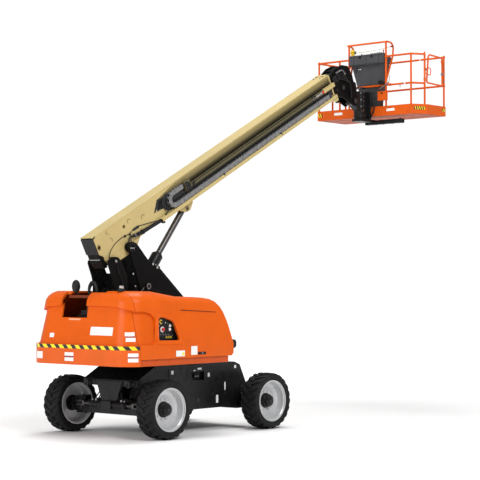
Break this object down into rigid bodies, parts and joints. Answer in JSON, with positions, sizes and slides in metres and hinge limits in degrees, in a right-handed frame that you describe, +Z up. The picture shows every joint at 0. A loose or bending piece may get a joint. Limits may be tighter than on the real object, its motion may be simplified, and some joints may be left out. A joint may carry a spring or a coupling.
{
  "type": "telescopic boom lift",
  "caption": "Self-propelled telescopic boom lift: wheeled chassis, slewing turntable with counterweight and hoods, telescoping boom and a railed work platform.",
  "frame": {"origin": "bottom centre of the machine's own box as parked: on the ground under the tyres, on the centre line, half way from the rear cover to the front of the platform", "axes": "+X the way the boom points and the machine drives, +Y to the machine's left, +Z up"},
  "size_m": [8.565, 2.49, 7.119],
  "materials": {
    "orange_paint": "gloss",
    "cream_paint": "gloss",
    "black_paint": "satin",
    "silver_paint": "satin",
    "cast_orange": "gloss",
    "hood_shell": "gloss",
    "tyre": "matte",
    "steel": "bare",
    "chrome": "polished",
    "black_plastic": "matte",
    "orange_plastic": "satin",
    "grey_plastic": "satin",
    "tan_paint": "satin",
    "rubber": "matte",
    "engine_iron": "cast"
  },
  "bodies": {
    "chassis": {"chassis_frame": "black_paint", "slew_ring": "steel", "steer_axle": "black_paint", "drive_axle": "black_paint", "steer_cylinder": "black_paint"},
    "steer_rod": {"steer_rod": "chrome"},
    "knuckle_left": {"steer_knuckle_left": "black_paint"},
    "knuckle_right": {"steer_knuckle_right": "black_paint"},
    "wheel_rl": {"wheel_rear_left": "silver_paint", "tyre_rear_left": "tyre"},
    "wheel_rr": {"wheel_rear_right": "silver_paint", "tyre_rear_right": "tyre"},
    "wheel_fl": {"wheel_front_left": "silver_paint", "tyre_front_left": "tyre"},
    "wheel_fr": {"wheel_front_right": "silver_paint", "tyre_front_right": "tyre"},
    "turntable": {"turntable_frame": "orange_paint", "boom_uprights": "black_paint", "rear_posts": "black_paint", "cylinder_cradle": "black_paint", "counterweight": "cast_orange", "rear_cover": "hood_shell", "ground_controls": "black_plastic", "engine_block": "engine_iron"},
    "hood_r": {"hood_right": "hood_shell", "hood_bumper_right": "rubber"},
    "hood_l": {"hood_left": "hood_shell", "hood_bumper_left": "rubber"},
    "boom_base": {"boom_base_tube": "cream_paint", "boom_end_cap": "black_plastic", "lift_bracket": "cream_paint", "track_tray": "cream_paint", "cable_carrier": "black_plastic"},
    "boom_mid": {"boom_mid_tube": "cream_paint", "push_tube": "tan_paint"},
    "boom_fly": {"boom_fly_tube": "cream_paint", "boom_nose": "black_paint"},
    "leveller": {"rotator_housing": "black_paint"},
    "platform": {"platform_mount": "black_paint", "platform_deck": "orange_paint", "rail_rear": "orange_paint", "rail_front": "orange_paint", "rail_left": "orange_paint", "rail_right": "orange_paint", "operator_console": "grey_plastic", "manual_box": "orange_plastic"},
    "gate": {"platform_gate": "orange_paint"},
    "lift_barrel": {"lift_cylinder_barrel": "black_paint"},
    "lift_rod": {"lift_cylinder_rod": "chrome"}
  },
  "joints": [
    {"name": "slew", "type": "hinge", "parent": "chassis", "child": "turntable", "pos_m": [-2.1825, 0, 1.165], "axis": [0, 0, 1], "continuous": true},
    {"name": "boom_lift", "type": "hinge", "parent": "turntable", "child": "boom_base", "pos_m": [-3.3125, 0, 3.03], "axis": [0, -1, 0], "range_deg": [-42, 44]},
    {"name": "boom_extend", "type": "slide", "parent": "boom_base", "child": "boom_mid", "axis": [0.8854, 0, 0.4648], "range_m": [0, 4.5]},
    {"name": "fly_extend", "type": "slide", "parent": "boom_mid", "child": "boom_fly", "axis": [0.8854, 0, 0.4648], "range_m": [0, 4.5]},
    {"name": "platform_level", "type": "hinge", "parent": "boom_fly", "child": "leveller", "pos_m": [2.8375, 0, 5.93], "axis": [0, -1, 0], "range_deg": [-44, 42]},
    {"name": "platform_rotate", "type": "hinge", "parent": "leveller", "child": "platform", "pos_m": [3.1275, 0, 5.6], "axis": [0, 0, 1], "range_deg": [-90, 90]},
    {"name": "gate_swing", "type": "hinge", "parent": "platform", "child": "gate", "pos_m": [4.1985, -1.196, 6.34], "axis": [0, 0, 1], "range_deg": [-85, 0]},
    {"name": "steer_left", "type": "hinge", "parent": "chassis", "child": "knuckle_left", "pos_m": [-3.4225, 0.79, 0.47], "axis": [0, 0, 1], "range_deg": [-35, 35]},
    {"name": "steer_right", "type": "hinge", "parent": "chassis", "child": "knuckle_right", "pos_m": [-3.4225, -0.79, 0.47], "axis": [0, 0, 1], "range_deg": [-35, 35]},
    {"name": "steer_rod_slide", "type": "slide", "parent": "chassis", "child": "steer_rod", "axis": [0, 1, 0], "range_m": [-0.12, 0.12]},
    {"name": "wheel_rl_spin", "type": "hinge", "parent": "knuckle_left", "child": "wheel_rl", "pos_m": [-3.4225, 1.0675, 0.47], "axis": [0, 1, 0], "continuous": true},
    {"name": "wheel_rr_spin", "type": "hinge", "parent": "knuckle_right", "child": "wheel_rr", "pos_m": [-3.4225, -1.0675, 0.47], "axis": [0, 1, 0], "continuous": true},
    {"name": "wheel_fl_spin", "type": "hinge", "parent": "chassis", "child": "wheel_fl", "pos_m": [-0.9425, 1.0675, 0.47], "axis": [0, 1, 0], "continuous": true},
    {"name": "wheel_fr_spin", "type": "hinge", "parent": "chassis", "child": "wheel_fr", "pos_m": [-0.9425, -1.0675, 0.47], "axis": [0, 1, 0], "continuous": true},
    {"name": "hood_right_lift", "type": "hinge", "parent": "turntable", "child": "hood_r", "pos_m": [-3.1925, -0.405, 2.16], "axis": [1, 0, 0], "range_deg": [-60, 0]},
    {"name": "hood_left_lift", "type": "hinge", "parent": "turntable", "child": "hood_l", "pos_m": [-3.1925, 0.405, 2.16], "axis": [1, 0, 0], "range_deg": [0, 60]},
    {"name": "lift_cylinder_tilt", "type": "hinge", "parent": "turntable", "child": "lift_barrel", "pos_m": [-3.51006, 0, 1.58491], "axis": [0, -1, 0], "range_deg": [-24, 24]},
    {"name": "lift_cylinder_stroke", "type": "slide", "parent": "lift_barrel", "child": "lift_rod", "axis": [0.6184, 0, 0.7859], "range_m": [-0.7, 0.72]}
  ],
  "couplings": [
    {"joint": "fly_extend", "follows": "boom_extend", "ratio": 1},
    {"joint": "platform_level", "follows": "boom_lift", "ratio": -1},
    {"joint": "steer_right", "follows": "steer_left", "ratio": 1},
    {"joint": "steer_rod_slide", "follows": "steer_left", "m_per_rad": -0.16},
    {"joint": "lift_cylinder_tilt", "follows": "boom_lift", "ratio": 0.534},
    {"joint": "lift_cylinder_stroke", "follows": "boom_lift", "m_per_rad": 0.912}
  ]
}
